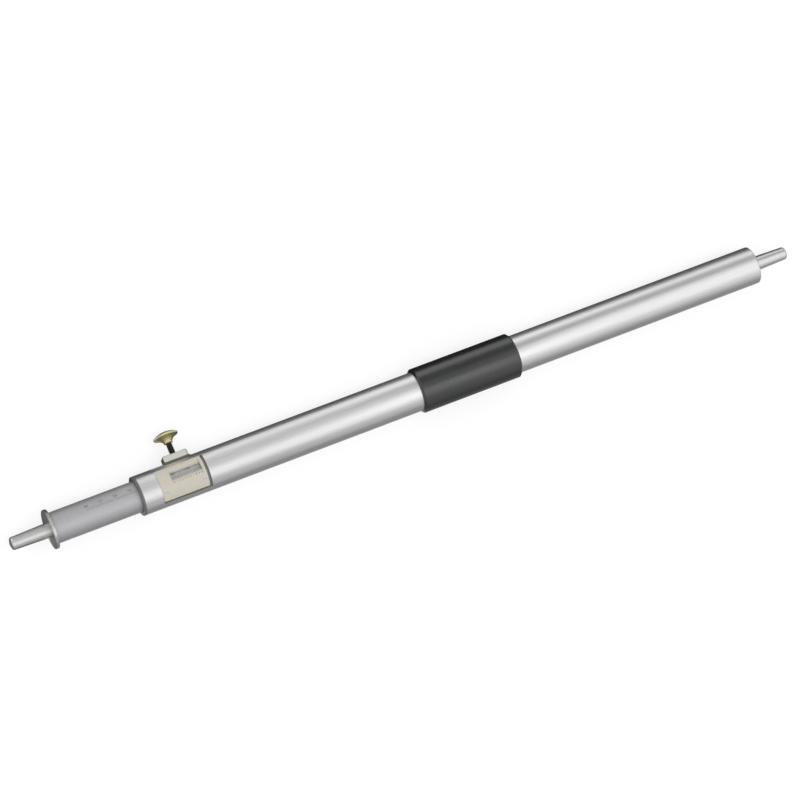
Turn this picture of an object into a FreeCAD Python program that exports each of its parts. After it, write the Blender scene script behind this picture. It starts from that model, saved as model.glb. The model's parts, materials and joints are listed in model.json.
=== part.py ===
import FreeCAD, Part
import math
import os
from FreeCAD import Vector

# Inside vernier caliper. An inner tube slides in an outer one, and the length over the two contacts is
# read on the inner tube's scale against a curved vernier plate that lies flush in the outer tube's window.
#
# The tool lies along X. x is 0 at the fixed contact's measuring point and falls towards the slide contact.
# Every piece is built with the lock screw along +Y. Angles round the tool are in degrees from +Z towards +Y.
# At the end the whole tool is rolled about X, to lie on its grip, its collar and the rim of its knob. It tips
# less than half a degree from this level pose until all three touch. Lengths are in mm.

# Measuring lengths
CLOSED_LENGTH = 500.0  # over both contacts, with the slide pushed home
SLIDE_TRAVEL = 300.0
EXTENSION = 58.3  # how far the slide stands out as the tool lies here
FIXED_CONTACT_LENGTH = 25.2
SLIDE_CONTACT_LENGTH = 26.6

# Outer tube and the dark ring at its open end
TUBE_R = 13.15
PLAIN_R = 12.7  # of the stretch that is turned down, from the grip to the fixed contact
TUBE_WALL = 1.75
TUBE_END_ROUND = 1.0  # at the fixed contact's end
NOSE_RING_WIDTH = 1.7
NOSE_SPIGOT_LENGTH = 1.5
NOSE_BORE_GAP = 0.3
NOSE_CHAMFER = 0.25

# Inner tube
SLIDE_R = 10.4
SLIDE_WALL = 1.25

# Guides between the tubes
BUSH_LENGTH = 66.0
GUIDE_RING_LENGTH = 14.0
RIVET_R = 1.0
RIVET_COUNT = 3
STOP_GAP = 0.1  # left between guide ring and bush at full extension

# Clearances
RUNNING_GAP = 0.05  # radial, between pieces that move on each other
SEAT_GAP = 0.02  # radial, between pieces that are fixed to each other

# Collar and plug at the slide's end
COLLAR_R = 13.2
COLLAR_THICKNESS = 2.3
COLLAR_CHAMFER = 0.3
SLIDE_PLUG_DEPTH = 18.0
CROSS_PIN_R = 1.25
CROSS_PIN_INSET = 9.0  # from the collar
CROSS_PIN_RECESS = 0.08

# Contacts
CONTACT_ROOT_R = 4.95
CONTACT_TIP_R = 4.3
CONTACT_CORNER = 1.8
CONTACT_CROWN = 0.55  # height of the slightly domed end
CONTACT_SHANK_R = 4.0
CONTACT_SHANK_LENGTH = 14.0

# End plug
END_PLUG_LENGTH = 20.0
END_PLUG_RECESS = 0.4
END_PLUG_RELIEF = 1.2  # depth of the hollow in its inner face
SET_SCREW_R = 1.5
SET_SCREW_INSET = 9.0  # from the tube's end
SET_SCREW_ANGLE = 180.0
SOCKET_R = 0.75
SOCKET_DEPTH = 1.5

# Window, vernier plate and the slot that the scale is read through
WINDOW_INSET = 13.9  # from the tool's open end
WINDOW_LENGTH = 33.45
WINDOW_FROM = -66.0
WINDOW_TO = 42.0
WINDOW_CORNER = 1.0
PLATE_SIDE_GAP = 0.15
PLATE_LOWER_GAP = 1.5
PLATE_RIGHT_GAP = 1.9
PLATE_CORNER = 0.8
SLOT_INSET = 8.4  # from the plate's left end
SLOT_LENGTH = 21.2
SLOT_FROM = 3.0
SLOT_TO = 24.0
BEVEL_WIDTH = 9.0  # degrees of the bevelled reading edge
UPPER_BEVEL_WIDTH = 7.0  # degrees of the slot's bevelled upper side
SLOT_LAND = 0.4  # upright height left under the upper bevel
LIP_GAP = 0.2  # between the reading edge and the inner tube
LIP_BACKING = 3.0  # degrees of full thickness behind the bevel
APERTURE_MARGIN = 0.8

# Guide key on the underside
KEY_LENGTH = 12.0
KEY_WIDTH = 3.0
KEY_INSET = 9.4  # from the bush's inner end
KEY_ANGLE = 180.0
KEY_DEPTH = 1.0  # how far it reaches into the inner tube's wall

# Countersunk screws
SCREW_R = 1.0
SCREW_HEAD_R = 1.8
SCREW_SLOT_WIDTH = 0.45
SCREW_SLOT_DEPTH = 0.5
PLATE_SCREW_R = 0.8
PLATE_SCREW_HEAD_R = 1.35
PLATE_SCREW_INSET = 2.7  # from each end of the plate
PLATE_SCREW_ANGLE = -32.0
BUSH_SCREW_INSET = 7.0  # from the tool's open end
BUSH_SCREW_ANGLES = (140.0, -110.0)
PLUG_SCREW_INSET = 12.0  # from the tube's end
PLUG_SCREW_ANGLES = (115.0, -125.0)
PLUG_SCREW_BITE = 4.0

# Grip sleeve
GRIP_R = 15.05
GRIP_LENGTH = 70.7
GRIP_CHAMFER = 1.2
GRIP_SEAT_DEPTH = 0.2  # of the seat in the tube that the grip is pressed on
GRIP_SEAM = 91.0  # degrees from +Y to the moulding seam, near the underside, with the tool in its place
GRIP_FROM_TIP = 203.4  # from the fixed contact's point to the grip's near end

# Lock screw: boss, pad, stem and knob. Heights are from the tool's axis.
LOCK_INSET = 32.7  # from the tool's open end
BOSS_LENGTH = 17.0
BOSS_WIDTH = 9.5
BOSS_TOP = 17.5
BOSS_CORNER = 1.6
BOSS_CHAMFER = 0.5
PAD_R = 2.5
PAD_HEIGHT = 2.5
PAD_LIFT = 0.25  # at rest, between pad and inner tube
PAD_TRAVEL = 2.0
STEM_R = 2.1
STEM_SPIGOT_R = 1.2
STEM_SPIGOT_LENGTH = 1.2
KNOB_R = 8.35
KNOB_HUB_R = 3.0
KNOB_FOOT = 25.5
KNOB_NECK = 0.9  # height of the straight hub under the flare
KNOB_FLARE = 3.3
KNOB_RIM = 1.4
KNOB_RIM_CHAMFER = 0.3
KNOB_DOME = 2.2
KNOB_SOCKET = 4.2
KNURL_COUNT = 44
KNURL_DEPTH = 0.28

# Places along the tool
x_tube_end = -FIXED_CONTACT_LENGTH
x_open_end = -(CLOSED_LENGTH - SLIDE_CONTACT_LENGTH - COLLAR_THICKNESS)
x_tube_start = x_open_end + NOSE_RING_WIDTH
x_collar = x_open_end - EXTENSION
x_bush_start = x_tube_start + NOSE_SPIGOT_LENGTH
x_bush_end = x_bush_start + BUSH_LENGTH
x_ring_start = x_bush_end + SLIDE_TRAVEL - EXTENSION + STOP_GAP
x_slide_end = x_ring_start + GUIDE_RING_LENGTH
x_window = x_open_end + WINDOW_INSET
x_plate_start = x_window + PLATE_SIDE_GAP
x_plate_end = x_window + WINDOW_LENGTH - PLATE_RIGHT_GAP
x_slot = x_plate_start + SLOT_INSET
x_key = x_bush_end - KEY_INSET
x_lock = x_open_end + LOCK_INSET
x_set_screw = x_tube_end - SET_SCREW_INSET
x_grip_end = -GRIP_FROM_TIP
x_grip_start = x_grip_end - GRIP_LENGTH

# Radii that follow from the tubes
tube_bore = TUBE_R - TUBE_WALL
slide_bore = SLIDE_R - SLIDE_WALL
bush_bore = SLIDE_R + RUNNING_GAP
seated_r = tube_bore - SEAT_GAP
seat_r = TUBE_R - GRIP_SEAT_DEPTH
lip_r = SLIDE_R + LIP_GAP
plate_from = WINDOW_FROM + math.degrees(PLATE_LOWER_GAP / TUBE_R)
plate_to = WINDOW_TO - math.degrees(PLATE_SIDE_GAP / TUBE_R)

# Heights along the lock screw
pad_top = SLIDE_R + PAD_HEIGHT
stem_foot = pad_top + RUNNING_GAP
rim_bottom = KNOB_FOOT + KNOB_NECK + KNOB_FLARE
rim_top = rim_bottom + KNOB_RIM

# The roll at which the knob's rim meets the plane that the grip's left edge and the collar rest on
slope = (GRIP_R - COLLAR_R) / (x_grip_start + GRIP_CHAMFER - x_collar + COLLAR_THICKNESS / 2)
floor_at_knob = GRIP_R - slope * (x_grip_start + GRIP_CHAMFER - x_lock)
rim_reach = math.hypot(KNOB_R, rim_top)
roll = math.degrees(math.asin(floor_at_knob / rim_reach) - math.atan2(KNOB_R, rim_top))

ALONG_X = Vector(1, 0, 0)
ALONG_Y = Vector(0, 1, 0)
OUTWARD = Vector(0, 0, 1)
CENTRE = Vector(0, 0, 0)
PAST = 1.0  # how far a cutter runs past the face that it opens


def around(x, r, angle):
    """The point at x, at radius r and at an angle round the tool."""
    turn = math.radians(angle)
    return Vector(x, r * math.sin(turn), r * math.cos(turn))


def turned(outline, axis):
    """A solid turned about X or Y from (along, radius) corners. A corner of four numbers is an arc's middle and end."""
    def place(along, r):
        return Vector(along, r, 0) if axis == ALONG_X else Vector(r, along, 0)

    edges = []
    here = place(*outline[0][:2])
    for corner in outline[1:] + outline[:1]:
        end = place(*corner[-2:])
        if len(corner) == 4:
            edges.append(Part.Arc(here, place(*corner[:2]), end).toShape())
        else:
            edges.append(Part.LineSegment(here, end).toShape())
        here = end
    return Part.Face(Part.Wire(edges)).revolve(CENTRE, axis, 360)


def pipe(r_in, r_out, x_from, x_to):
    """A plain tube along X."""
    return turned([(x_from, r_in), (x_from, r_out), (x_to, r_out), (x_to, r_in)], ALONG_X)


def sector(r_in, r_out, x_from, x_to, angle_from, angle_to):
    """A piece of a tube between two angles."""
    middle = (angle_from + angle_to) / 2
    edges = [
        Part.Arc(around(x_from, r_out, angle_from), around(x_from, r_out, middle),
                 around(x_from, r_out, angle_to)).toShape(),
        Part.LineSegment(around(x_from, r_out, angle_to), around(x_from, r_in, angle_to)).toShape(),
        Part.Arc(around(x_from, r_in, angle_to), around(x_from, r_in, middle),
                 around(x_from, r_in, angle_from)).toShape(),
        Part.LineSegment(around(x_from, r_in, angle_from), around(x_from, r_out, angle_from)).toShape(),
    ]
    return Part.Face(Part.Wire(edges)).extrude(ALONG_X * (x_to - x_from))


def rounded_sector(r_in, r_out, x_from, x_to, angle_from, angle_to, corner):
    """A sector whose four corners are rounded when seen from outside the tube."""
    solid = sector(r_in, r_out, x_from, x_to, angle_from, angle_to)
    upright = [e for e in solid.Edges if abs(e.Length - (r_out - r_in)) < 1e-6]
    return solid.makeFillet(corner, upright)


def radial(shape, x, angle):
    """Carries a shape built along +Z at the origin to its place and angle on the tool."""
    carried = shape.copy()
    carried.rotate(CENTRE, ALONG_X, -angle)
    carried.translate(Vector(x, 0, 0))
    return carried


def drill(r, low, high):
    """A round cutter or pin along +Z, from one height above the tool's axis to another."""
    return Part.makeCylinder(r, high - low, Vector(0, 0, low), OUTWARD)


def head_height(surface_r, head_r):
    """Where a flat screw head lies just flush with a round surface."""
    return math.sqrt(surface_r ** 2 - head_r ** 2)


def countersunk_screw(surface_r, foot, shank_r, head_r):
    """A slotted countersunk screw along +Z that ends at the height foot."""
    top = head_height(surface_r, head_r)
    cone = Part.makeCone(shank_r, head_r, head_r - shank_r, Vector(0, 0, top - head_r + shank_r), OUTWARD)
    slot = Part.makeBox(2 * head_r + PAST, SCREW_SLOT_WIDTH, SCREW_SLOT_DEPTH + PAST,
                        Vector(-head_r - PAST / 2, -SCREW_SLOT_WIDTH / 2, top - SCREW_SLOT_DEPTH))
    return drill(shank_r, foot, top - head_r + shank_r).fuse(cone).cut(slot).removeSplitter()


def countersunk_hole(surface_r, foot, shank_r, head_r):
    """The hole that such a screw fills, open to the outside."""
    top = head_height(surface_r, head_r)
    shank = shank_r + SEAT_GAP
    head = head_r + SEAT_GAP
    cone = Part.makeCone(shank, head, head - shank, Vector(0, 0, top - head + shank), OUTWARD)
    return drill(shank, foot, top - head + shank).fuse(cone).fuse(drill(head, top, surface_r + PAST))


def screw_places():
    """Each fixing screw of the outer tube: its node, place, angle, the tube's radius there, its foot and radii."""
    places = []
    for angle in BUSH_SCREW_ANGLES:
        places.append(("bush_screws", x_open_end + BUSH_SCREW_INSET, angle, TUBE_R, bush_bore + RUNNING_GAP, SCREW_R,
                       SCREW_HEAD_R))
    for angle in PLUG_SCREW_ANGLES:
        places.append(("end_plug_screws", x_tube_end - PLUG_SCREW_INSET, angle, PLAIN_R, tube_bore - PLUG_SCREW_BITE,
                       SCREW_R, SCREW_HEAD_R))
    for x in (x_plate_start + PLATE_SCREW_INSET, x_plate_end - PLATE_SCREW_INSET):
        places.append(("vernier_plate_screws", x, PLATE_SCREW_ANGLE, TUBE_R, bush_bore + RUNNING_GAP, PLATE_SCREW_R,
                       PLATE_SCREW_HEAD_R))
    places.append(("key_screw", x_key, KEY_ANGLE, TUBE_R, SLIDE_R, SCREW_R, SCREW_HEAD_R))
    return places


def screws(node):
    """The fixing screws of one node, as a group."""
    return Part.makeCompound([
        radial(countersunk_screw(surface_r, foot, shank_r, head_r), x, angle)
        for name, x, angle, surface_r, foot, shank_r, head_r in screw_places() if name == node
    ])


def with_screw_holes(solid, *nodes):
    """The solid, drilled for the screws of the nodes named."""
    for name, x, angle, surface_r, foot, shank_r, head_r in screw_places():
        if name in nodes:
            solid = solid.cut(radial(countersunk_hole(surface_r, foot, shank_r, head_r), x, angle))
    return solid


def key_block(length, width, r_from, r_to):
    """A block with round ends on the tool's underside, from one radius to another."""
    straight = length - width
    block = Part.makeBox(straight, width, r_to - r_from, Vector(-straight / 2, -width / 2, r_from))
    for side in (-1, 1):
        block = block.fuse(Part.makeCylinder(width / 2, r_to - r_from, Vector(side * straight / 2, 0, r_from), OUTWARD))
    return radial(block.removeSplitter(), x_key, KEY_ANGLE)


def lock_cutter(r, low, high):
    """A round cutter on the lock screw's axis."""
    return Part.makeCylinder(r, high - low, Vector(x_lock, low, 0), ALONG_Y)


def outer_tube():
    """The long tube, turned down beyond the grip, with its window and holes and the grip's seat."""
    bend = TUBE_END_ROUND * (1 - math.sqrt(0.5))
    tube = turned([
        (x_tube_start, tube_bore),
        (x_tube_start, TUBE_R),
        (x_grip_start, TUBE_R),
        (x_grip_start, seat_r),
        (x_grip_end, seat_r),
        (x_grip_end, PLAIN_R),
        (x_tube_end - TUBE_END_ROUND, PLAIN_R),
        (x_tube_end - bend, PLAIN_R - bend, x_tube_end, PLAIN_R - TUBE_END_ROUND),
        (x_tube_end, tube_bore),
    ], ALONG_X)
    window = rounded_sector(tube_bore - PAST, TUBE_R + PAST, x_window, x_window + WINDOW_LENGTH, WINDOW_FROM,
                            WINDOW_TO, WINDOW_CORNER)
    tube = tube.cut(window)
    tube = tube.cut(lock_cutter(PAD_R + RUNNING_GAP, SLIDE_R, TUBE_R + PAST))
    tube = tube.cut(radial(drill(SET_SCREW_R + SEAT_GAP, tube_bore - PAST, TUBE_R + PAST), x_set_screw,
                           SET_SCREW_ANGLE))
    return with_screw_holes(tube, "bush_screws", "end_plug_screws", "key_screw")


def nose_ring():
    """The dark ring at the open end, with a short spigot inside the tube."""
    bore = SLIDE_R + NOSE_BORE_GAP
    return turned([
        (x_open_end, bore + NOSE_CHAMFER),
        (x_open_end, TUBE_R - NOSE_CHAMFER),
        (x_open_end + NOSE_CHAMFER, TUBE_R),
        (x_tube_start, TUBE_R),
        (x_tube_start, seated_r),
        (x_bush_start, seated_r),
        (x_bush_start, bore),
        (x_open_end + NOSE_CHAMFER, bore),
    ], ALONG_X)


def front_bush():
    """The long guide bush, opened under the reading slot, the pad and the key."""
    bush = pipe(bush_bore, seated_r, x_bush_start, x_bush_end)
    bush = bush.cut(sector(bush_bore - PAST, seated_r + PAST, x_slot - APERTURE_MARGIN,
                           x_slot + SLOT_LENGTH + APERTURE_MARGIN, SLOT_FROM - BEVEL_WIDTH - LIP_BACKING
                           - math.degrees(APERTURE_MARGIN / TUBE_R), SLOT_TO))
    bush = bush.cut(lock_cutter(PAD_R + RUNNING_GAP, SLIDE_R - PAST, TUBE_R))
    bush = bush.cut(key_block(KEY_LENGTH + SEAT_GAP, KEY_WIDTH + SEAT_GAP, bush_bore - PAST, TUBE_R))
    return with_screw_holes(bush, "bush_screws", "vernier_plate_screws")


def vernier_plate():
    """The curved plate in the window. Its slot has a bevelled upper side and, below, the reading lip.

    The lip's bevel falls from the plate's face to the inner tube's scale.
    """
    plate = rounded_sector(tube_bore, TUBE_R, x_plate_start, x_plate_end, plate_from, plate_to, PLATE_CORNER)
    lip = sector(lip_r, tube_bore + SEAT_GAP, x_slot, x_slot + SLOT_LENGTH, SLOT_FROM - BEVEL_WIDTH - LIP_BACKING,
                 SLOT_FROM)
    corners = [
        around(x_slot, lip_r, SLOT_FROM),
        around(x_slot, TUBE_R, SLOT_FROM - BEVEL_WIDTH),
        around(x_slot, TUBE_R + PAST, SLOT_FROM - BEVEL_WIDTH),
        around(x_slot, TUBE_R + PAST, SLOT_TO + UPPER_BEVEL_WIDTH),
        around(x_slot, TUBE_R, SLOT_TO + UPPER_BEVEL_WIDTH),
        around(x_slot, tube_bore + SLOT_LAND, SLOT_TO),
        around(x_slot, lip_r - PAST, SLOT_TO),
        around(x_slot, lip_r - PAST, SLOT_FROM),
    ]
    slot = Part.Face(Part.makePolygon(corners + corners[:1])).extrude(ALONG_X * SLOT_LENGTH)
    return with_screw_holes(plate.fuse(lip).cut(slot).removeSplitter(), "vernier_plate_screws")


def clamp_boss():
    """The saddle block that the lock screw is threaded through."""
    block = Part.makeBox(BOSS_LENGTH, BOSS_TOP - SLIDE_R, BOSS_WIDTH,
                         Vector(x_lock - BOSS_LENGTH / 2, SLIDE_R, -BOSS_WIDTH / 2))
    upright = [e for e in block.Edges if abs(e.Length - (BOSS_TOP - SLIDE_R)) < 1e-6]
    block = block.makeFillet(BOSS_CORNER, upright)
    top = [e for e in block.Edges if all(abs(v.Y - BOSS_TOP) < 1e-6 for v in e.Vertexes)]
    block = block.makeChamfer(BOSS_CHAMFER, top)
    block = block.cut(Part.makeCylinder(TUBE_R, BOSS_LENGTH + 2 * PAST,
                                        Vector(x_lock - BOSS_LENGTH / 2 - PAST, 0, 0), ALONG_X))
    block = block.cut(lock_cutter(PAD_R + RUNNING_GAP, 0, pad_top + PAD_TRAVEL + STOP_GAP))
    return block.cut(lock_cutter(STEM_R + RUNNING_GAP, 0, BOSS_TOP + PAST))


def grip_sleeve():
    """The grip, with chamfered ends. It is pressed on its seat from the turned-down end, up to the seat's shoulder."""
    x_from = x_grip_start + SEAT_GAP
    x_to = x_grip_end - SEAT_GAP
    bore = seat_r + SEAT_GAP
    sleeve = turned([
        (x_from, bore),
        (x_from, GRIP_R - GRIP_CHAMFER),
        (x_from + GRIP_CHAMFER, GRIP_R),
        (x_to - GRIP_CHAMFER, GRIP_R),
        (x_to, GRIP_R - GRIP_CHAMFER),
        (x_to, bore),
    ], ALONG_X)
    sleeve.rotate(CENTRE, ALONG_X, roll - GRIP_SEAM)
    return sleeve


def guide_key():
    """The key: its foot in the bush, its nose in the inner tube's slot."""
    key = key_block(KEY_LENGTH, KEY_WIDTH, SLIDE_R - KEY_DEPTH, TUBE_R)
    key = key.common(Part.makeCylinder(seated_r, KEY_LENGTH + 2 * PAST,
                                       Vector(x_key - KEY_LENGTH / 2 - PAST, 0, 0), ALONG_X))
    return with_screw_holes(key, "key_screw")


def end_plug():
    """The plug that closes the outer tube and carries the fixed contact."""
    x_face = x_tube_end - END_PLUG_RECESS
    x_back = x_tube_end - END_PLUG_LENGTH
    bore = CONTACT_SHANK_R + SEAT_GAP
    rim = seated_r - TUBE_WALL
    plug = turned([
        (x_back, bore + END_PLUG_RELIEF),
        (x_back, seated_r - END_PLUG_RECESS),
        (x_back + END_PLUG_RECESS, seated_r),
        (x_face, seated_r),
        (x_face, rim),
        (x_tube_end, rim - END_PLUG_RECESS),
        (x_tube_end, bore),
        (x_back + END_PLUG_RELIEF, bore),
    ], ALONG_X)
    plug = plug.cut(radial(drill(SET_SCREW_R + SEAT_GAP, 0, TUBE_R), x_set_screw, SET_SCREW_ANGLE))
    return with_screw_holes(plug, "end_plug_screws")


def contact(length):
    """A contact with its root at x 0 and its domed end at x = length, with a shank in its plug."""
    x_corner = length - CONTACT_CROWN - CONTACT_CORNER
    bend = CONTACT_CORNER * (1 - math.sqrt(0.5))
    flat = CONTACT_TIP_R - CONTACT_CORNER
    x_edge = length - CONTACT_CROWN
    dome_r = (flat ** 2 + CONTACT_CROWN ** 2) / (2 * CONTACT_CROWN)
    half_r = flat / 2
    x_half = length - dome_r + math.sqrt(dome_r ** 2 - half_r ** 2)
    return turned([
        (-CONTACT_SHANK_LENGTH, 0),
        (-CONTACT_SHANK_LENGTH, CONTACT_SHANK_R),
        (0, CONTACT_SHANK_R),
        (0, CONTACT_ROOT_R),
        (x_corner, CONTACT_TIP_R),
        (x_edge - bend, CONTACT_TIP_R - bend, x_edge, flat),
        (x_half, half_r, length, 0),
    ], ALONG_X)


def fixed_contact():
    rod = contact(FIXED_CONTACT_LENGTH)
    rod.translate(Vector(x_tube_end, 0, 0))
    return rod


def slide_contact():
    """The contact in the collar, drilled across its shank for the pin."""
    rod = contact(SLIDE_CONTACT_LENGTH)
    rod.rotate(CENTRE, OUTWARD, 180)
    rod.translate(Vector(x_collar - COLLAR_THICKNESS, 0, 0))
    return rod.cut(cross_pin_shape(CROSS_PIN_R + SEAT_GAP, SLIDE_R))


def contact_set_screw():
    """The set screw in the end plug, with its hexagon socket."""
    top = head_height(tube_bore, SET_SCREW_R)
    screw = drill(SET_SCREW_R, CONTACT_SHANK_R + SEAT_GAP, top)
    corners = [Vector(SOCKET_R * math.cos(math.radians(60 * i)), SOCKET_R * math.sin(math.radians(60 * i)),
                      top - SOCKET_DEPTH) for i in range(6)]
    socket = Part.Face(Part.makePolygon(corners + corners[:1])).extrude(OUTWARD * (SOCKET_DEPTH + PAST))
    return radial(screw.cut(socket), x_set_screw, SET_SCREW_ANGLE)


def inner_tube():
    """The slide's tube, with the slot that the key runs in."""
    tube = pipe(slide_bore, SLIDE_R, x_collar, x_slide_end)
    reach = KEY_LENGTH / 2 + STOP_GAP + RUNNING_GAP
    slot_from = x_key - EXTENSION - reach
    slot_to = x_key + SLIDE_TRAVEL - EXTENSION + reach
    half = KEY_WIDTH / 2 + RUNNING_GAP
    slot = Part.makeBox(slot_to - slot_from - 2 * half, 2 * half, SLIDE_R, Vector(slot_from + half, -half, 0))
    for x in (slot_from + half, slot_to - half):
        slot = slot.fuse(Part.makeCylinder(half, SLIDE_R, Vector(x, 0, 0), OUTWARD))
    slot.translate(OUTWARD * (SLIDE_R - SLIDE_WALL - PAST))
    tube = tube.cut(radial(slot.removeSplitter(), 0, KEY_ANGLE))
    tube = tube.cut(cross_pin_shape(CROSS_PIN_R + SEAT_GAP, SLIDE_R + PAST))
    for i in range(RIVET_COUNT):
        tube = tube.cut(rivet_shape(RIVET_R + SEAT_GAP, i))
    return tube


def cross_pin_shape(r, half_length):
    """A cylinder across the inner tube near the collar, along the lock screw's direction."""
    return Part.makeCylinder(r, 2 * half_length, Vector(x_collar + CROSS_PIN_INSET, -half_length, 0), ALONG_Y)


def rivet_shape(r, index):
    """One of the guide ring's rivets."""
    x = x_ring_start + GUIDE_RING_LENGTH / 2
    low = slide_bore + SEAT_GAP
    return radial(drill(r, low, head_height(SLIDE_R + RUNNING_GAP + tube_bore - bush_bore, r)), x,
                  360 / RIVET_COUNT * index)


def slide_plug():
    """The collar and the plug behind it, one turned piece."""
    r = slide_bore - SEAT_GAP
    bore = CONTACT_SHANK_R + SEAT_GAP
    x_face = x_collar - COLLAR_THICKNESS
    plug = turned([
        (x_face, bore),
        (x_face, COLLAR_R - COLLAR_CHAMFER),
        (x_face + COLLAR_CHAMFER, COLLAR_R),
        (x_collar - COLLAR_CHAMFER, COLLAR_R),
        (x_collar, COLLAR_R - COLLAR_CHAMFER),
        (x_collar, r),
        (x_collar + SLIDE_PLUG_DEPTH - COLLAR_CHAMFER, r),
        (x_collar + SLIDE_PLUG_DEPTH, r - COLLAR_CHAMFER),
        (x_collar + SLIDE_PLUG_DEPTH, bore),
    ], ALONG_X)
    return plug.cut(cross_pin_shape(CROSS_PIN_R + SEAT_GAP, SLIDE_R))


def slide_cross_pin():
    """The pin that runs through tube, plug and contact shank, and holds all three together."""
    return cross_pin_shape(CROSS_PIN_R, SLIDE_R - CROSS_PIN_RECESS)


def guide_ring():
    """The ring on the slide's hidden end, which runs in the outer tube's bore."""
    r_out = tube_bore - RUNNING_GAP
    r_in = SLIDE_R + SEAT_GAP
    ring = turned([
        (x_ring_start, r_in),
        (x_ring_start, r_out - COLLAR_CHAMFER),
        (x_ring_start + COLLAR_CHAMFER, r_out),
        (x_slide_end - COLLAR_CHAMFER, r_out),
        (x_slide_end, r_out - COLLAR_CHAMFER),
        (x_slide_end, r_in),
    ], ALONG_X)
    for i in range(RIVET_COUNT):
        ring = ring.cut(radial(drill(RIVET_R + SEAT_GAP, SLIDE_R - PAST, TUBE_R),
                               x_ring_start + GUIDE_RING_LENGTH / 2, 360 / RIVET_COUNT * i))
    return ring


def guide_ring_rivets():
    return Part.makeCompound([rivet_shape(RIVET_R, i) for i in range(RIVET_COUNT)])


def lock_pad():
    """The brass pad under the stem. Its hollow face meets the inner tube when the screw is tightened."""
    pad = lock_cutter(PAD_R, slide_bore, pad_top)
    tube = Part.makeCylinder(SLIDE_R, 4 * PAD_R, Vector(x_lock - 2 * PAD_R, PAD_LIFT, 0), ALONG_X)
    return pad.cut(tube).cut(lock_cutter(STEM_SPIGOT_R + RUNNING_GAP, pad_top - STEM_SPIGOT_LENGTH, pad_top + PAST))


def lock_stem():
    """The lock screw's stem, from its spigot in the pad to its end in the knob."""
    stem = turned([
        (pad_top - STEM_SPIGOT_LENGTH + RUNNING_GAP, 0),
        (pad_top - STEM_SPIGOT_LENGTH + RUNNING_GAP, STEM_SPIGOT_R),
        (stem_foot, STEM_SPIGOT_R),
        (stem_foot, STEM_R - KNOB_RIM_CHAMFER),
        (stem_foot + KNOB_RIM_CHAMFER, STEM_R),
        (KNOB_FOOT + KNOB_SOCKET, STEM_R),
        (KNOB_FOOT + KNOB_SOCKET, 0),
    ], ALONG_Y)
    stem.translate(ALONG_X * x_lock)
    return stem


def lock_knob():
    """The lens-shaped knob: a flared underside, a knurled rim and a domed top."""
    bore = STEM_R + SEAT_GAP
    low = KNOB_FOOT + KNOB_NECK
    edge = KNOB_R - KNOB_RIM_CHAMFER
    apex = rim_top + KNOB_DOME
    flare_mid = (low + 0.64 * KNOB_FLARE, KNOB_HUB_R + 0.42 * (edge - KNOB_HUB_R))
    dome_r = (edge ** 2 + KNOB_DOME ** 2) / (2 * KNOB_DOME)
    half_r = edge / 2
    dome_mid = (apex - dome_r + math.sqrt(dome_r ** 2 - half_r ** 2), half_r)
    knob = turned([
        (KNOB_FOOT, bore),
        (KNOB_FOOT, KNOB_HUB_R),
        (low, KNOB_HUB_R),
        (*flare_mid, rim_bottom, edge),
        (rim_bottom + KNOB_RIM_CHAMFER, KNOB_R),
        (rim_top - KNOB_RIM_CHAMFER, KNOB_R),
        (rim_top, edge),
        (*dome_mid, apex, 0),
        (KNOB_FOOT + KNOB_SOCKET, 0),
        (KNOB_FOOT + KNOB_SOCKET, bore),
    ], ALONG_Y)
    knob = knob.common(knurl_prism())
    knob.translate(ALONG_X * x_lock)
    return knob


def knurl_prism():
    """A long prism with a fine star section, which gives the knob's rim its grooves."""
    corners = []
    for i in range(2 * KNURL_COUNT):
        r = KNOB_R + SEAT_GAP if i % 2 else KNOB_R - KNURL_DEPTH
        turn = math.pi * i / KNURL_COUNT
        corners.append(Vector(r * math.cos(turn), KNOB_FOOT - PAST, r * math.sin(turn)))
    return Part.Face(Part.makePolygon(corners + corners[:1])).extrude(ALONG_Y * (rim_top + KNOB_DOME - KNOB_FOOT
                                                                               + 2 * PAST))


NODES = {
    "outer_tube": outer_tube,
    "nose_ring": nose_ring,
    "front_bush": front_bush,
    "bush_screws": lambda: screws("bush_screws"),
    "vernier_plate": vernier_plate,
    "vernier_plate_screws": lambda: screws("vernier_plate_screws"),
    "clamp_boss": clamp_boss,
    "grip_sleeve": grip_sleeve,
    "guide_key": guide_key,
    "key_screw": lambda: screws("key_screw"),
    "end_plug": end_plug,
    "end_plug_screws": lambda: screws("end_plug_screws"),
    "fixed_contact": fixed_contact,
    "contact_set_screw": contact_set_screw,
    "inner_tube": inner_tube,
    "slide_plug": slide_plug,
    "slide_cross_pin": slide_cross_pin,
    "slide_contact": slide_contact,
    "guide_ring": guide_ring,
    "guide_ring_rivets": guide_ring_rivets,
    "lock_pad": lock_pad,
    "lock_stem": lock_stem,
    "lock_knob": lock_knob,
}

os.makedirs("parts", exist_ok=True)
print("roll %.3f degrees, floor at z %.2f, open end at x %.2f" % (roll, -GRIP_R, x_open_end))
for node, build in NODES.items():
    piece = build()
    piece.rotate(CENTRE, ALONG_X, -roll)
    if not piece.isValid():
        print(node, "is not valid")
    piece.exportStep("parts/" + node + ".step")
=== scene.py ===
import json
import math

import bpy
from mathutils import Matrix, Vector


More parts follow.
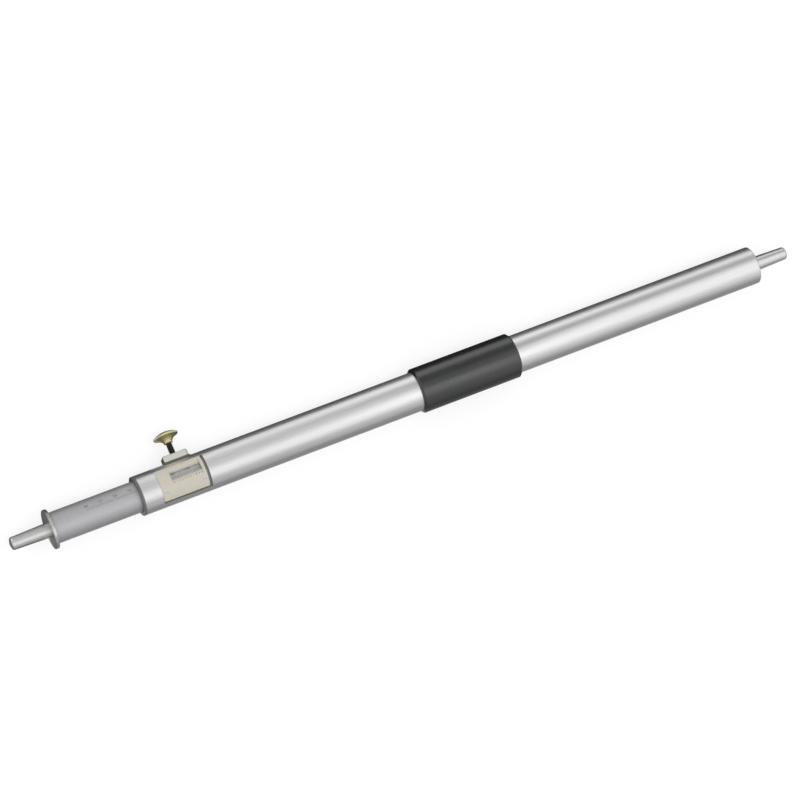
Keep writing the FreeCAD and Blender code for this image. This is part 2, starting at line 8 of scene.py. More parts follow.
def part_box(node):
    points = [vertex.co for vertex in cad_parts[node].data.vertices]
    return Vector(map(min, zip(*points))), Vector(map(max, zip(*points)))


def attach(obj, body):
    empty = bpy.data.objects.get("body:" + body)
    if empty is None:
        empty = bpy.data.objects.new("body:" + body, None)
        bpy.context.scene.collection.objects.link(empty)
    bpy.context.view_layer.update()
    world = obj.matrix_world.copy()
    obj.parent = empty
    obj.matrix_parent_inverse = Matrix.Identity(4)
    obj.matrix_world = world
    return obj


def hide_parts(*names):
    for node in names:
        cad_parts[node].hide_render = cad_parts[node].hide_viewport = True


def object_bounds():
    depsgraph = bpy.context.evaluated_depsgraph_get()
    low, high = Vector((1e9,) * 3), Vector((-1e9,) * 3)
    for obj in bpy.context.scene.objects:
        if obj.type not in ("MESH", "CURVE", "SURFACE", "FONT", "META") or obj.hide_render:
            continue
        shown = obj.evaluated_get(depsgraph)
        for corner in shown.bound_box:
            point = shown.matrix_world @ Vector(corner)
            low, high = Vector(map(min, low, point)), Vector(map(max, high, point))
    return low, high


# Inside vernier caliper: finishes, engraved scales, thread, solder, camera and studio round the packed
# model. The tool lies along X and is rolled about it, so that it rests on the knob's rim.

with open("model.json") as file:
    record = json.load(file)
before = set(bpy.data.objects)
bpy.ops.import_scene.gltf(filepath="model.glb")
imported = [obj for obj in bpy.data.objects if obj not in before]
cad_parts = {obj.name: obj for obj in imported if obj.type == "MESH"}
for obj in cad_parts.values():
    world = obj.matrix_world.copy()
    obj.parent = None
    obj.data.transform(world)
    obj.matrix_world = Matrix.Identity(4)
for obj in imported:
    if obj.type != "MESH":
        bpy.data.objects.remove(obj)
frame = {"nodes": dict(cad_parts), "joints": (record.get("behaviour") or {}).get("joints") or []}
cad_low, cad_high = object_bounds()

MM = 0.001
WELD = 0.001 * MM  # points nearer than this are one
SMOOTH_ANGLE = math.radians(35)  # flatter edges than this are shaded round

# Camera, from the vanishing of the tube in the photograph
PICTURE = 800  # px, both ways
FOCAL_PX = 4008.5
SENSOR = 36.0
DISTANCE = 2.6
LEAN = math.radians(15.5)  # towards the slide contact
SIDE = math.radians(2.4)  # towards the side away from the knob
TURN = math.radians(20.65)  # how far the tool rises to the right
AIM_X = -285.7 * MM
AIM_PX = (399.6, 397.8)  # where that point of the axis lies in the picture

# Tubes and the vernier plate, as in the construction. Angles are round the tool, from square to the lock
# screw towards it.
SLIDE_R = 10.4 * MM
BUSH_R = 11.4 * MM
BUSH_PAINTED_LIGHT_DEPTH = 0.04 * MM  # deeper than this, the bush is painted pale: painted light on its slot's walls, which lie in shade
TUBE_R = 13.15 * MM
LIP_R = 10.6 * MM  # of the vernier's reading edge
LIP_ANGLE = math.radians(3.0)
CREST_ANGLE = LIP_ANGLE - math.radians(9.0)  # where the bevel behind it meets the plate's outer face
SLOT_INSET = 8.4 * MM
SLOT_LENGTH = 21.2 * MM

# Lock screw, as in the construction, and its thread. Heights are from the tool's axis.
STEM_R = 2.1 * MM
STEM_SPIGOT = 1.2 * MM  # its radius and its length
STEM_FOOT = 12.95 * MM  # where the stem stands on the pad
STEM_TOP = 29.7 * MM  # in the knob
PITCH = 0.7 * MM
THREAD_DEPTH = 0.43 * MM
THREAD_END = 25.4 * MM
RIDGE_START = 0.6 * PITCH  # the ridge's first crest, from the stem's foot
RIDGE_HALF = 0.45 * PITCH  # half the ridge's width at its root
RIDGE_SUNK = 0.05 * MM  # how far its root reaches into the core

# Boss, as in the construction, and the solder round its foot
BOSS_LENGTH = 17.0 * MM
BOSS_WIDTH = 9.5 * MM
BOSS_CORNER = 1.6 * MM
SOLDER_HEIGHT = 0.9 * MM
SOLDER_END = 1.4 * MM  # how far it runs out along the tube
SOLDER_SIDE = 3.8 * MM  # and round the tube
SOLDER_SUNK = 0.3 * MM  # under the tube's surface
SOLDER_WALL = 0.3 * MM

# Lines and figures of the scales
SCALE_FROM = 500  # mm
SCALE_TO = 800
LINE_WIDTH = 0.14 * MM
LINE_RAISE = 0.012 * MM  # the paint in a line stands this far over the metal
BEND_STEP = 0.37 * MM  # flat paint is cut into strips this wide before it is bent round a tube
FONT_SIZE = 1.4  # the font's size over the height of its figures
FIGURE_HEIGHT = 1.45 * MM

# The main scale's places round the slide, from the vernier's reading edge
LINE_START = -0.15 * MM  # a little under the plate
LINE_END = 1.3 * MM
FIVE_LINE_END = 1.8 * MM
TEN_LINE_END = 2.2 * MM
FIGURE_FOOT = 2.45 * MM

# The vernier, whose lines go up the bevel and whose figures stand on the plate
VERNIER_LINES = 21
VERNIER_STEP = 0.95 * MM
VERNIER_LINE_START = 0.02 * MM
LONG_LINE = 0.98  # of the bevel's width
SHORT_LINE = 0.66
VERNIER_FIGURE_HEIGHT = 0.85 * FIGURE_HEIGHT
VERNIER_FIGURE_FOOT = -1.75 * MM  # from the bevel's crest

# Studio
FLOOR_SIZE = 12.0
FLOOR_COLOUR = 0.8  # what lights the tool from below
FLOOR_SHADED = 0.3  # the part of the seen floor's white that takes the shadow
FLOOR_GLOW = 0.75  # the part that doesn't
SKY_LEVEL = 0.8
LAMP_LENGTH = 2.4
LAMP_WIDTH = 0.3
LAMP_POWER = 6.0
LAMP_DISTANCE = 1.6
LAMP_ANGLE = math.radians(-13)
PANEL_DISTANCE = 1.5
PANEL_ENDS = (-2.8, 2.2)  # along X
FLOOR_CARD_LIFT = 0.4 * MM
LEFT_END_X = cad_low.x + 25 * MM  # left of this, cards of their own stand round the slide contact

lock_joint = next(joint for joint in frame["joints"] if joint["name"] == "lock_screw_turn")
lock_axis = Vector(lock_joint["axis"])
LOCK_X = lock_joint["pos_m"][0]
ROLL = math.atan2(-lock_axis.z, lock_axis.y)
ROLLED = Matrix.Rotation(-ROLL, 3, "X")

reading = round((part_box("fixed_contact")[1].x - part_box("slide_contact")[0].x) / MM, 1)
slot_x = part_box("vernier_plate")[0].x + SLOT_INSET
zero_x = slot_x + (SLOT_LENGTH - (VERNIER_LINES - 1) * VERNIER_STEP) / 2


def linear(code):
    """An sRGB hex colour as linear red, green, blue and alpha."""
    parts = [int(code[i:i + 2], 16) / 255 for i in (1, 3, 5)]
    return [p / 12.92 if p <= 0.04045 else ((p + 0.055) / 1.055) ** 2.4 for p in parts] + [1.0]


def around(radius, angle, x=0.0):
    """The point at a radius and an angle round the tool's axis, from straight up towards +Y."""
    return Vector((x, radius * math.sin(angle), radius * math.cos(angle)))


def add(tree, kind, links=None, **settings):
    """Adds a node. A setting that names an input sets its value, any other sets the node itself."""
    made = tree.nodes.new(kind)
    for name, value in settings.items():
        if hasattr(made, name):
            setattr(made, name, value)
        else:
            made.inputs[name.replace("_", " ")].default_value = value
    for name, source in (links or {}).items():
        tree.links.new(source, made.inputs[name])
    return made


def new_material(name):
    """An empty node material with its output."""
    material = bpy.data.materials.new(name)
    material.use_nodes = True
    material.node_tree.nodes.clear()
    out = material.node_tree.nodes.new("ShaderNodeOutputMaterial")
    return material, material.node_tree, out


def grained(name, colour, shade, roughness, spread, grain, bump, depth, pattern, shading):
    """A surface whose colour, roughness and relief vary a little with its grain.

    grain is the grain's size along and across the tool, pattern and shading are settings of the noise and
    of the shader.
    """
    material, tree, out = new_material(name)
    along, across = grain
    place = add(tree, "ShaderNodeTexCoord")
    stretched = add(tree, "ShaderNodeMapping", {"Vector": place.outputs["Object"]},
                    Scale=(1 / along, 1 / across, 1 / across))
    noise = add(tree, "ShaderNodeTexNoise", {"Vector": stretched.outputs["Vector"]}, Scale=1.0, **pattern)
    ramp = add(tree, "ShaderNodeValToRGB", {"Fac": noise.outputs["Fac"]})
    for stop, position, code in zip(ramp.color_ramp.elements, (0.3, 0.7), (shade, colour)):
        stop.position = position
        stop.color = linear(code)
    rough = add(tree, "ShaderNodeMapRange", {"Value": noise.outputs["Fac"]},
                To_Min=roughness - spread, To_Max=roughness + spread)
    dents = add(tree, "ShaderNodeBump", {"Height": noise.outputs["Fac"]}, Strength=bump, Distance=depth)
    shader = add(tree, "ShaderNodeBsdfPrincipled",
                 {"Base Color": ramp.outputs["Color"], "Roughness": rough.outputs["Result"],
                  "Normal": dents.outputs["Normal"]}, **shading)
    tree.links.new(shader.outputs["BSDF"], out.inputs["Surface"])
    return material


def metal(name, colour, shade, roughness, spread, grain, bump):
    """A bare or plated metal."""
    return grained(name, colour, shade, roughness, spread, grain, bump, 0.02 * MM,
                   {"Detail": 4.0, "Roughness": 0.6}, {"Metallic": 1.0})


def coated(name, colour, shade, roughness, spread, grain, bump, ior=1.5):
    """A painted, plastic, oxide or tarnished surface."""
    return grained(name, colour, shade, roughness, spread, grain, bump, 0.03 * MM,
                   {"Detail": 5.0, "Roughness": 0.55}, {"Metallic": 0.0, "IOR": ior})


def bare_below(material, radius, colour):
    """Shows another colour nearer to the tool's axis than a radius: painted light on walls that lie in shade.
    """
    tree = material.node_tree
    shader = next(node for node in tree.nodes if node.type == "BSDF_PRINCIPLED")
    coating = shader.inputs["Base Color"].links[0].from_socket
    place = add(tree, "ShaderNodeTexCoord")
    across = add(tree, "ShaderNodeVectorMath", {0: place.outputs["Object"]}, operation="MULTIPLY")
    across.inputs[1].default_value = (0, 1, 1)
    reach = add(tree, "ShaderNodeVectorMath", {0: across.outputs["Vector"]}, operation="LENGTH")
    outside = add(tree, "ShaderNodeMath", {0: reach.outputs["Value"]}, operation="GREATER_THAN")
    outside.inputs[1].default_value = radius
    both = add(tree, "ShaderNodeMix", {"Factor": outside.outputs[0], 7: coating}, data_type="RGBA")
    both.inputs[6].default_value = linear(colour)
    tree.links.new(both.outputs[2], shader.inputs["Base Color"])


# Satin chrome plate on drawn tube: soft-edged reflections in long streaks.
satin_chrome = metal("satin_chrome_plate", "#D2D2D2", "#C6C6C7", 0.38, 0.04, (30 * MM, 0.5 * MM), 0.12)
# Matt chrome on the ground slide: an even grey with hardly any reflection.
matt_chrome = metal("matt_chrome_plate", "#BDBDBF", "#B0B0B2", 0.6, 0.05, (3 * MM, 0.4 * MM), 0.2)
# Ground and lapped hardened steel: bright, with a fine turned grain.
ground_steel = metal("ground_hardened_steel", "#CBCBCA", "#BCBCBB", 0.38, 0.05, (0.25 * MM, 3 * MM), 0.15)
# Turned mild steel: rings of the tool's feed.
turned_steel = metal("turned_steel", "#C4C4C2", "#B2B2B0", 0.34, 0.06, (0.2 * MM, 4 * MM), 0.2)
# Dull nickel plate on the boss: pale, very soft reflection with a faint warm green.
dull_nickel = metal("dull_nickel_plate", "#DCDDD4", "#CFD0C6", 0.4, 0.05, (0.8 * MM, 0.8 * MM), 0.15)
# Lacquered brass: olive gold, turned, with a soft shine.
lacquered_brass = metal("lacquered_brass", "#DFDAAE", "#D0CA9A", 0.46, 0.05, (1.5 * MM, 0.3 * MM), 0.15)
# Plain turned brass inside the tool.
plain_brass = metal("turned_brass", "#CDAE5F", "#B89A50", 0.3, 0.05, (0.3 * MM, 3 * MM), 0.15)
# Matt cream lacquer on the vernier plate: flat, warm, nearly no reflection.
cream_lacquer = coated("matt_cream_lacquer", "#CBC6B8", "#C2BDAE", 0.55, 0.05, (1.2 * MM, 1.2 * MM), 0.1)
# Worn black oxide on the nose ring: dark grey, rubbed paler than the lock screw.
worn_oxide = coated("worn_black_oxide", "#6C6C68", "#5A5A57", 0.45, 0.06, (0.6 * MM, 0.6 * MM), 0.15)
# Zinc phosphate on the guide bush: a dull mid grey that the window's gaps show. The walls of the slot in it
# are painted pale, as painted light against the slot's shade.
phosphate_and_painted_light = coated("zinc_phosphate", "#868684", "#757573", 0.6, 0.05, (0.4 * MM, 0.4 * MM), 0.15)
# The slot's walls get a pale colour: painted light in place of the shade inside the slot.
bare_below(phosphate_and_painted_light, BUSH_R - BUSH_PAINTED_LIGHT_DEPTH, "#E2E1DB")
# Soft solder round the boss's foot: a dark joint whose dark colour is also painted shade, standing in for the
# band of mirrored shadow along the boss's foot.
tarnished_solder = coated("tarnished_solder", "#5C5C58", "#4E4E4B", 0.5, 0.05, (0.8 * MM, 0.8 * MM), 0.2)
# Black oxide on steel: nearly black with a dull oiled sheen.
black_oxide = coated("black_oxide_on_steel", "#2E2E2B", "#232321", 0.42, 0.06, (0.6 * MM, 0.6 * MM), 0.15)
# Moulded phenolic of the grip: black with a faint green, satin from handling.
black_phenolic = coated("moulded_black_phenolic", "#1C201E", "#161A18", 0.27, 0.05, (6 * MM, 1.5 * MM),
                        0.15, ior=1.65)
# Black paint wiped into the engraved lines and figures.
scale_paint = coated("engraving_paint", "#42433E", "#363732", 0.6, 0.05, (0.3 * MM, 0.3 * MM), 0.05)

FINISHES = {
    "outer_tube": satin_chrome,
    "nose_ring": worn_oxide,
    "front_bush": phosphate_and_painted_light,
    "bush_screws": turned_steel,
    "vernier_plate": cream_lacquer,
    "vernier_plate_screws": turned_steel,
    "clamp_boss": dull_nickel,
    "grip_sleeve": black_phenolic,
    "guide_key": turned_steel,
    "key_screw": turned_steel,
    "end_plug": turned_steel,
    "end_plug_screws": turned_steel,
    "fixed_contact": ground_steel,
    "contact_set_screw": black_oxide,
    "inner_tube": matt_chrome,
    "slide_plug": turned_steel,
    "slide_cross_pin": turned_steel,
    "slide_contact": ground_steel,
    "guide_ring": plain_brass,
    "guide_ring_rivets": plain_brass,
    "lock_pad": plain_brass,
    "lock_stem": black_oxide,
    "lock_knob": lacquered_brass,
}
for node_name, finish in FINISHES.items():
    for slot in frame["nodes"][node_name].material_slots:
        slot.material = finish


def deselect_all():
    """Leaves edit mode and deselects every object."""
    if bpy.context.object and bpy.context.object.mode != "OBJECT":
        bpy.ops.object.mode_set(mode="OBJECT")
    bpy.ops.object.select_all(action="DESELECT")


def apply_place():
    """Puts the selected object's place, turn and scale into its mesh."""
    bpy.ops.object.transform_apply(location=True, rotation=True, scale=True)


def settle(piece, body, material):
    """Puts a finished piece's place into its mesh, and gives it its body, slot and finish."""
    deselect_all()
    piece.select_set(True)
    bpy.context.view_layer.objects.active = piece
    apply_place()
    piece.data.materials.clear()
    piece.data.materials.append(material)
    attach(piece, body)


def join(pieces, name):
    """Joins meshes into one piece."""
    deselect_all()
    for piece in pieces:
        piece.select_set(True)
    bpy.context.view_layer.objects.active = pieces[0]
    bpy.ops.object.join()
    pieces[0].name = name
    return pieces[0]


def wrap(piece, radius, angle):
    """Bends a flat mesh round the tool: y becomes arc length from an angle, z the height over the radius."""
    deselect_all()
    piece.select_set(True)
    bpy.context.view_layer.objects.active = piece
    low = min(vertex.co.y for vertex in piece.data.vertices)
    high = max(vertex.co.y for vertex in piece.data.vertices)
    bpy.ops.object.mode_set(mode="EDIT")
    for i in range(1, math.ceil((high - low) / BEND_STEP)):
        bpy.ops.mesh.select_all(action="SELECT")
        bpy.ops.mesh.bisect(plane_co=(0, low + i * BEND_STEP, 0), plane_no=(0, 1, 0))
    bpy.ops.object.mode_set(mode="OBJECT")
    for vertex in piece.data.vertices:
        x, arc, height = vertex.co
        vertex.co = around(radius + height, angle + arc / radius + ROLL, x)


def face_outwards():
    """In edit mode, turns all faces of closed meshes outwards."""
    bpy.ops.mesh.select_all(action="SELECT")
    bpy.ops.mesh.normals_make_consistent(inside=False)


def flat_line(x, low, high):
    """A thin flat bar of paint in the XY plane."""
    deselect_all()
    bpy.ops.mesh.primitive_plane_add(size=1.0, location=(0, 0, 0))
    bar = bpy.context.object
    bar.scale = (LINE_WIDTH, high - low, 1)
    bar.location = (x, (low + high) / 2, 0)
    apply_place()
    bpy.ops.object.mode_set(mode="EDIT")
    bpy.ops.mesh.select_all(action="SELECT")
    bpy.ops.mesh.extrude_region_move(TRANSFORM_OT_translate={"value": (0, 0, LINE_RAISE)})
    face_outwards()
    bpy.ops.object.mode_set(mode="OBJECT")
    return bar


def figure(number, x, y, height):
    """A number as a thin flat mesh, centred on x and standing on y."""
    deselect_all()
    bpy.ops.object.text_add(location=(0, 0, 0))
    letters = bpy.context.object
    letters.data.body = str(number)
    letters.data.align_x = "CENTER"
    letters.data.size = height * FONT_SIZE
    letters.data.extrude = LINE_RAISE / 2
    letters.data.resolution_u = 3
    bpy.ops.object.convert(target="MESH")
    letters = bpy.context.object
    letters.location = (x, y, LINE_RAISE / 2)
    apply_place()
    return letters


def main_scale():
    """The millimetre scale along the slide, numbered each centimetre."""
    marks = []
    for value in range(SCALE_FROM, SCALE_TO + 1):
        x = zero_x + (value - reading) * MM
        end = TEN_LINE_END if value % 10 == 0 else FIVE_LINE_END if value % 5 == 0 else LINE_END
        marks.append(flat_line(x, LINE_START, end))
        if value % 10 == 0:
            marks.append(figure(value, x, FIGURE_FOOT, FIGURE_HEIGHT))
    scale = join(marks, "main_scale")
    wrap(scale, SLIDE_R, LIP_ANGLE)
    settle(scale, "slide", scale_paint)


def vernier_scale():
    """The vernier's lines on the bevelled edge and its figures on the plate."""
    lip = around(LIP_R, LIP_ANGLE)
    bevel = around(TUBE_R, CREST_ANGLE) - lip
    slope = bevel.normalized()
    outward = Vector((0, slope.z, -slope.y))
    lines = []
    figures = []
    for i in range(VERNIER_LINES):
        x = zero_x + i * VERNIER_STEP
        share = LONG_LINE if i % 2 == 0 else SHORT_LINE
        lines.append(flat_line(x, VERNIER_LINE_START, bevel.length * share))
        if i % 2 == 0:
            figures.append(figure(i // 2, x, VERNIER_FIGURE_FOOT, VERNIER_FIGURE_HEIGHT))
    bevel_lines = join(lines, "vernier_lines")
    for vertex in bevel_lines.data.vertices:
        x, up, height = vertex.co
        place = lip + slope * up + outward * (height + LINE_RAISE / 2)
        place.x = x
        vertex.co = ROLLED @ place
    # The bars' y runs up the bevel, against the angle round the tool, so their faces come out turned inwards.
    bpy.ops.object.mode_set(mode="EDIT")
    face_outwards()
    bpy.ops.object.mode_set(mode="OBJECT")
    settle(bevel_lines, "outer", scale_paint)
    numbers = join(figures, "vernier_figures")
    wrap(numbers, TUBE_R, CREST_ANGLE)
    settle(numbers, "outer", scale_paint)


def pick(mesh, kind, wanted):
    """In edit mode, selects those edges or faces whose corners pass a test."""
    bpy.ops.mesh.select_mode(type=kind)
    bpy.ops.mesh.select_all(action="DESELECT")
    bpy.ops.object.mode_set(mode="OBJECT")
    for part in mesh.edges if kind == "EDGE" else mesh.polygons:
        part.select = wanted([mesh.vertices[i].co for i in part.vertices])
    bpy.ops.object.mode_set(mode="EDIT")


def boss_solder():
    """The solder round the boss's foot, sloped from its sides down to the tube."""
    deselect_all()
    bpy.ops.mesh.primitive_cube_add(size=1.0, location=(0, 0, 0))
    skirt = bpy.context.object
    skirt.scale = (BOSS_LENGTH, BOSS_WIDTH, SOLDER_HEIGHT + SOLDER_SUNK)
    skirt.location = (0, 0, (SOLDER_HEIGHT - SOLDER_SUNK) / 2)
    apply_place()
    mesh = skirt.data
    bpy.ops.object.mode_set(mode="EDIT")

    # The sides across the tool are cut up to bend round it, and the upright corners are rounded.
    pick(mesh, "EDGE", lambda ends: abs(ends[0].y - ends[1].y) > BOSS_WIDTH / 2)
    bpy.ops.mesh.subdivide(number_cuts=9)
    pick(mesh, "EDGE", lambda ends: abs(ends[0].z - ends[1].z) > SOLDER_HEIGHT
         and all(abs(end.y) > BOSS_WIDTH / 2 - WELD for end in ends))
    bpy.ops.mesh.bevel(offset=BOSS_CORNER, segments=5)

    # The top and the bottom come off, which leaves a band round the boss.
    pick(mesh, "FACE", lambda corners: len({corner.z > 0 for corner in corners}) == 1)
    bpy.ops.mesh.delete(type="FACE")
    bpy.ops.object.mode_set(mode="OBJECT")
    for vertex in mesh.vertices:
        x, y, rise = vertex.co
        if rise < 0:
            x += math.copysign(SOLDER_END, x)
            y *= 1 + 2 * SOLDER_SIDE / BOSS_WIDTH
        out = math.sqrt((TUBE_R + rise) ** 2 - y ** 2)
        vertex.co = ROLLED @ Vector((LOCK_X + x, out, y))
    wall = skirt.modifiers.new("wall", "SOLIDIFY")
    wall.thickness = SOLDER_WALL
    wall.offset = 0
    bpy.ops.object.modifier_apply(modifier="wall")
    skirt.name = "boss_solder"
    # The solder's dark colour is painted shade along the boss's foot.
    settle(skirt, "outer", tarnished_solder)
    bpy.ops.object.shade_smooth_by_angle(angle=SMOOTH_ANGLE)


def stem_core(core_r):
    """The stem without its thread, standing up along Z: spigot, core and plain end, drawn out of a disc."""
    deselect_all()
    bpy.ops.mesh.primitive_circle_add(vertices=48, radius=STEM_SPIGOT, fill_type="NGON", location=(0, 0, 0))
    core = bpy.context.object
    core.location = (0, 0, STEM_FOOT - STEM_SPIGOT)
    apply_place()
    bpy.ops.object.mode_set(mode="EDIT")
    bpy.ops.mesh.select_all(action="SELECT")
    steps = (
        (STEM_SPIGOT, STEM_SPIGOT),
        (0, core_r),
        (THREAD_END - STEM_FOOT, core_r),
        (THREAD_DEPTH, STEM_R),
        (STEM_TOP - THREAD_END - THREAD_DEPTH, STEM_R),
    )
    here = STEM_SPIGOT
    for rise, radius in steps:
        bpy.ops.mesh.extrude_region_move(TRANSFORM_OT_translate={"value": (0, 0, rise)})
        bpy.ops.transform.resize(value=(radius / here, radius / here, 1))
        here = radius
    bpy.ops.mesh.select_all(action="SELECT")
    bpy.ops.mesh.remove_doubles(threshold=WELD)
    face_outwards()
    bpy.ops.object.mode_set(mode="OBJECT")
    return core


def stem_ridge(core_r):
    """The thread's ridge: a three-sided tooth wound up round Z, closed at both ends."""
    deselect_all()
    bpy.ops.mesh.primitive_circle_add(vertices=3, radius=1.0, fill_type="NOTHING", location=(0, 0, 0))
    ridge = bpy.context.object
    root_r = core_r - RIDGE_SUNK
    tooth = ((root_r, -RIDGE_HALF), (STEM_R, 0), (root_r, RIDGE_HALF))
    for vertex, (out, along) in zip(ridge.data.vertices, tooth):
        vertex.co = (out, 0, STEM_FOOT + RIDGE_START + along)
    turning = ridge.modifiers.new("thread", "SCREW")
    turning.axis = "Z"
    turning.steps = 36
    turning.render_steps = 36
    turning.iterations = int((THREAD_END - STEM_FOOT) / PITCH) - 1
    turning.screw_offset = PITCH
    bpy.ops.object.modifier_apply(modifier="thread")
    bpy.ops.object.mode_set(mode="EDIT")
    bpy.ops.mesh.select_all(action="SELECT")
    bpy.ops.mesh.fill_holes(sides=3)
    face_outwards()
    bpy.ops.object.mode_set(mode="OBJECT")
    return ridge


def threaded_stem():
    """The lock screw's stem with its real thread, in place of the plain one."""
    core_r = STEM_R - THREAD_DEPTH
    stem = join([stem_core(core_r), stem_ridge(core_r)], "threaded_stem")
    lean = Matrix.Rotation(-ROLL - math.pi / 2, 3, "X")
    for vertex in stem.data.vertices:
        vertex.co = lean @ vertex.co
        vertex.co.x += LOCK_X
    settle(stem, "lock_screw", black_oxide)
    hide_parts("lock_stem")
    bpy.ops.object.shade_smooth_by_angle(angle=SMOOTH_ANGLE)


main_scale()
vernier_scale()
boss_solder()
threaded_stem()


def camera():
    """The photograph's view: down on the tool, leaning towards the slide contact."""
    tip = Matrix.Rotation(SIDE, 3, "X")
    back = tip @ Vector((-math.sin(LEAN), 0, math.cos(LEAN)))
    level_right = tip @ Vector((math.cos(LEAN), 0, math.sin(LEAN)))
    level_up = tip @ Vector((0, 1, 0))
    right = level_right * math.cos(TURN) - level_up * math.sin(TURN)
    up = level_right * math.sin(TURN) + level_up * math.cos(TURN)
    per_px = DISTANCE / FOCAL_PX
    aim = Vector((AIM_X, 0, 0))
    aim -= right * (AIM_PX[0] - PICTURE / 2) * per_px
    aim += up * (AIM_PX[1] - PICTURE / 2) * per_px
    data = bpy.data.cameras.new("camera")
    data.sensor_width = SENSOR
    data.lens = FOCAL_PX / PICTURE * SENSOR
    data.clip_start = 0.1
    data.clip_end = 50
    made = bpy.data.objects.new("camera", data)
    bpy.context.collection.objects.link(made)
    place = Matrix((right, up, back)).transposed().to_4x4()
    place.translation = aim + back * DISTANCE
    made.matrix_world = place
    bpy.context.scene.camera = made


def card(name, length, width, place, turn, level):
    """A glowing card that is seen in reflections only, turned about X."""
    deselect_all()
    bpy.ops.mesh.primitive_plane_add(size=1.0, location=(0, 0, 0))
    made = bpy.context.object
    made.name = name
    made.scale = (length, width, 1)
    made.location = place
    made.rotation_euler = (turn, 0, 0)
    apply_place()
    material, tree, out = new_material(name)
    glow = add(tree, "ShaderNodeEmission", Strength=level, Color=(1, 1, 1, 1))
    tree.links.new(glow.outputs["Emission"], out.inputs["Surface"])
    made.data.materials.append(material)
    for sight in ("visible_camera", "visible_diffuse", "visible_transmission", "visible_shadow"):
        setattr(made, sight, False)


def panel(name, angles, level, distance=PANEL_DISTANCE, ends=PANEL_ENDS):
    """A long panel between two angles round the tool, in degrees from straight up towards +Y."""
    low, high = (math.radians(angle) for angle in angles)
    middle = (low + high) / 2
    width = 2 * distance * math.tan((high - low) / 2)
    place = around(distance, middle, sum(ends) / 2)
    card(name, ends[1] - ends[0], width, place, math.pi - middle, level)


def floor_card(name, sides, level, ends=(LEFT_END_X, 0.5), lift=FLOOR_CARD_LIFT):
    """A card just over the floor, between two places along Y and two along X."""
    place = (sum(ends) / 2, sum(sides) / 2, cad_low.z + lift)
    card(name, ends[1] - ends[0], sides[1] - sides[0], place, 0, level)


def reflections():
    """What the metals mirror, from over the tool down its far side, down its near side and on the floor."""
    panel("softbox_face", (-48, -4), 1.45)
    panel("softbox_wing_left", (-4, 19), 1.15, distance=0.25, ends=(-0.29, -0.21))
    panel("softbox_wing_right", (-4, 19), 1.4, distance=0.25, ends=(-0.13, 0.5))
    panel("grip_strip", (-32, -5), 2.3, distance=0.25, ends=(-0.21, -0.135))

    panel("far_grey", (6, 64), 0.8)
    panel("far_dark", (28, 56), 0.4, distance=0.5, ends=(-0.17, 1.0))
    panel("far_white", (65, 90), 1.65)
    panel("far_white_left", (66, 90), 1.35, distance=0.5, ends=(-0.45, -0.2))
    panel("far_rim_right", (83, 94), 0.6, distance=0.25, ends=(-0.08, 0.3))
    panel("left_end_dark", (55, 92), 0.35, distance=0.25, ends=(-0.56, -0.462))

    panel("near_grey", (-90, -50), 0.66)
    panel("near_wing", (-73, -47), 1.0, distance=0.5, ends=(-0.15, 1.0))

    # The floor cards are painted reflections of the floor round the tool: the dark ones are painted shadow of
    # the tool there, near_edge and knob_card are painted light.
    floor_card("near_card", (-0.5, -0.02), 0.34)
    floor_card("near_edge", (-0.02, 0), 0.8)
    floor_card("far_card", (0, 0.15), 0.03)
    floor_card("knob_card", (0.018, 0.03), 0.45, ends=(LOCK_X - 0.014, LOCK_X + 0.01), lift=0.8 * MM)
    floor_card("end_card", (-0.1, 0.1), 0.18, ends=(cad_low.x - 0.2, LEFT_END_X))


def seen_or_mirrored(tree):
    """1 for rays of the camera, of reflections and of glass, else 0."""
    rays = add(tree, "ShaderNodeLightPath").outputs
    either = add(tree, "ShaderNodeMath", {0: rays["Is Camera Ray"], 1: rays["Is Glossy Ray"]},
                 operation="MAXIMUM")
    any_of_them = add(tree, "ShaderNodeMath", {0: either.outputs[0], 1: rays["Is Transmission Ray"]},
                      operation="MAXIMUM")
    return any_of_them.outputs[0]


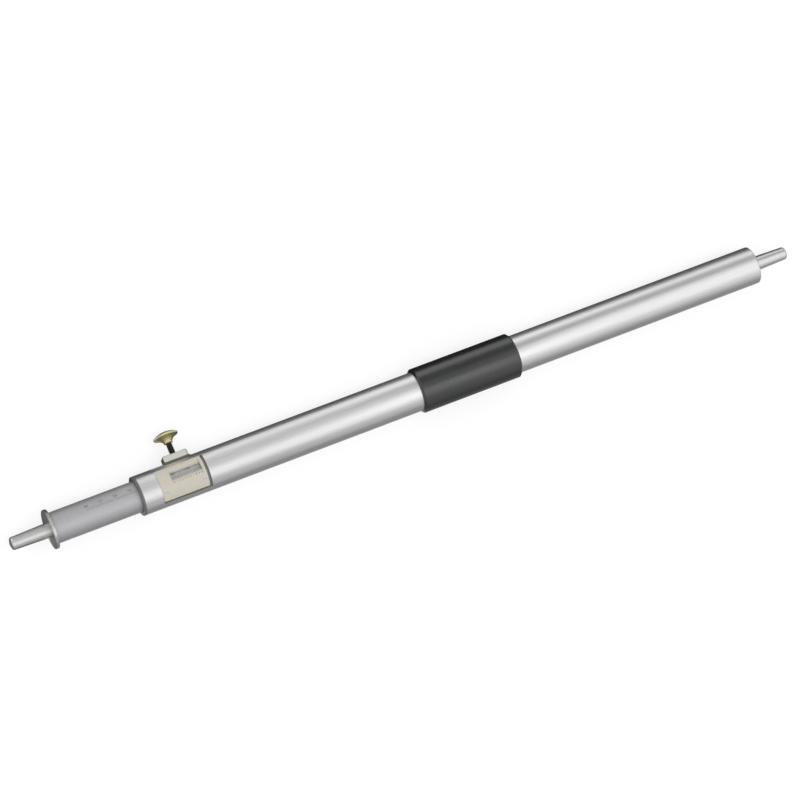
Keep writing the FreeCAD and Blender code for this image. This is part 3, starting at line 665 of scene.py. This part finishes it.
def white_floor():
    """A floor that is seen white but for the shadow on it."""
    deselect_all()
    bpy.ops.mesh.primitive_plane_add(size=FLOOR_SIZE, location=(AIM_X, 0, cad_low.z))
    floor = bpy.context.object
    floor.name = "floor"
    apply_place()
    material, tree, out = new_material("pale_floor")
    plain = add(tree, "ShaderNodeBsdfDiffuse", Color=(FLOOR_COLOUR, FLOOR_COLOUR, FLOOR_COLOUR, 1))
    shaded = add(tree, "ShaderNodeBsdfDiffuse", Color=(FLOOR_SHADED, FLOOR_SHADED, FLOOR_SHADED, 1))
    white = add(tree, "ShaderNodeEmission", Color=(1, 1, 1, 1), Strength=FLOOR_GLOW)
    both = add(tree, "ShaderNodeAddShader", {0: shaded.outputs[0], 1: white.outputs[0]})
    mix = add(tree, "ShaderNodeMixShader",
              {0: seen_or_mirrored(tree), 1: plain.outputs[0], 2: both.outputs[0]})
    tree.links.new(mix.outputs[0], out.inputs["Surface"])
    floor.data.materials.append(material)


def even_sky():
    """A world that lights the tool evenly and is seen white."""
    world = bpy.data.worlds.new("studio")
    bpy.context.scene.world = world
    world.use_nodes = True
    sky = world.node_tree
    sky.nodes.clear()
    out = sky.nodes.new("ShaderNodeOutputWorld")
    soft = add(sky, "ShaderNodeBackground", Color=(1, 1, 1, 1), Strength=SKY_LEVEL)
    white = add(sky, "ShaderNodeBackground", Color=(1, 1, 1, 1), Strength=1.0)
    mix = add(sky, "ShaderNodeMixShader",
              {0: seen_or_mirrored(sky), 1: soft.outputs[0], 2: white.outputs[0]})
    sky.links.new(mix.outputs[0], out.inputs["Surface"])


def overhead_lamp():
    """One long soft lamp over the tool, which isn't mirrored: the panels stand for it there."""
    lamp = bpy.data.lights.new("overhead_softbox", "AREA")
    lamp.shape = "RECTANGLE"
    lamp.size = LAMP_LENGTH
    lamp.size_y = LAMP_WIDTH
    lamp.energy = LAMP_POWER
    hung = bpy.data.objects.new("overhead_softbox", lamp)
    bpy.context.collection.objects.link(hung)
    hung.location = around(LAMP_DISTANCE, LAMP_ANGLE, AIM_X)
    hung.rotation_euler = (-LAMP_ANGLE, 0, 0)
    hung.visible_camera = False
    hung.visible_glossy = False


camera()
white_floor()
even_sky()
overhead_lamp()
reflections()

bpy.context.scene.view_settings.view_transform = "Standard"
